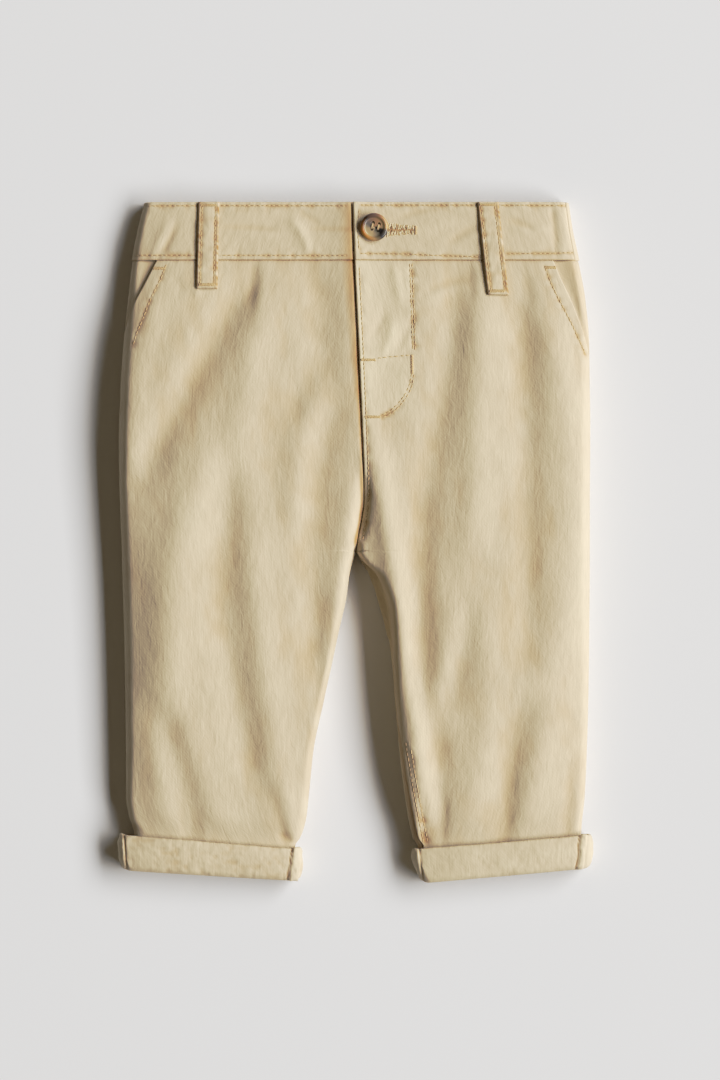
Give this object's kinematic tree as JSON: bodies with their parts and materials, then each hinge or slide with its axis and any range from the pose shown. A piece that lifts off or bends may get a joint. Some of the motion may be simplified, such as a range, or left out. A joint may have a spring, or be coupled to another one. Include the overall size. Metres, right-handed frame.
{
  "type": "chino trousers",
  "caption": "Baby chino trousers with turned-up cuffs, slanted pockets and a buttoned fly, laid flat with the front up.",
  "frame": {"origin": "middle of the part's box from above, on the surface that it lies on", "axes": "+Y up the garment to the waist, +Z out of its front, away from the surface, and +X towards the wearer's left leg"},
  "size_m": [0.2559, 0.3665, 0.026],
  "materials": {
    "cotton_twill": "matt",
    "horn_button": "semi-gloss, horn-like"
  },
  "bodies": {
    "root": {"front_right": "cotton_twill", "front_left": "cotton_twill", "back_right": "cotton_twill", "back_left": "cotton_twill", "waistband_front_right": "cotton_twill", "waistband_front_left": "cotton_twill", "waistband_back": "cotton_twill", "pocket_facing_right": "cotton_twill", "pocket_facing_left": "cotton_twill", "belt_loop_right": "cotton_twill", "belt_loop_left": "cotton_twill", "cuff_right": "cotton_twill", "cuff_left": "cotton_twill", "button": "horn_button"}
  },
  "joints": []
}
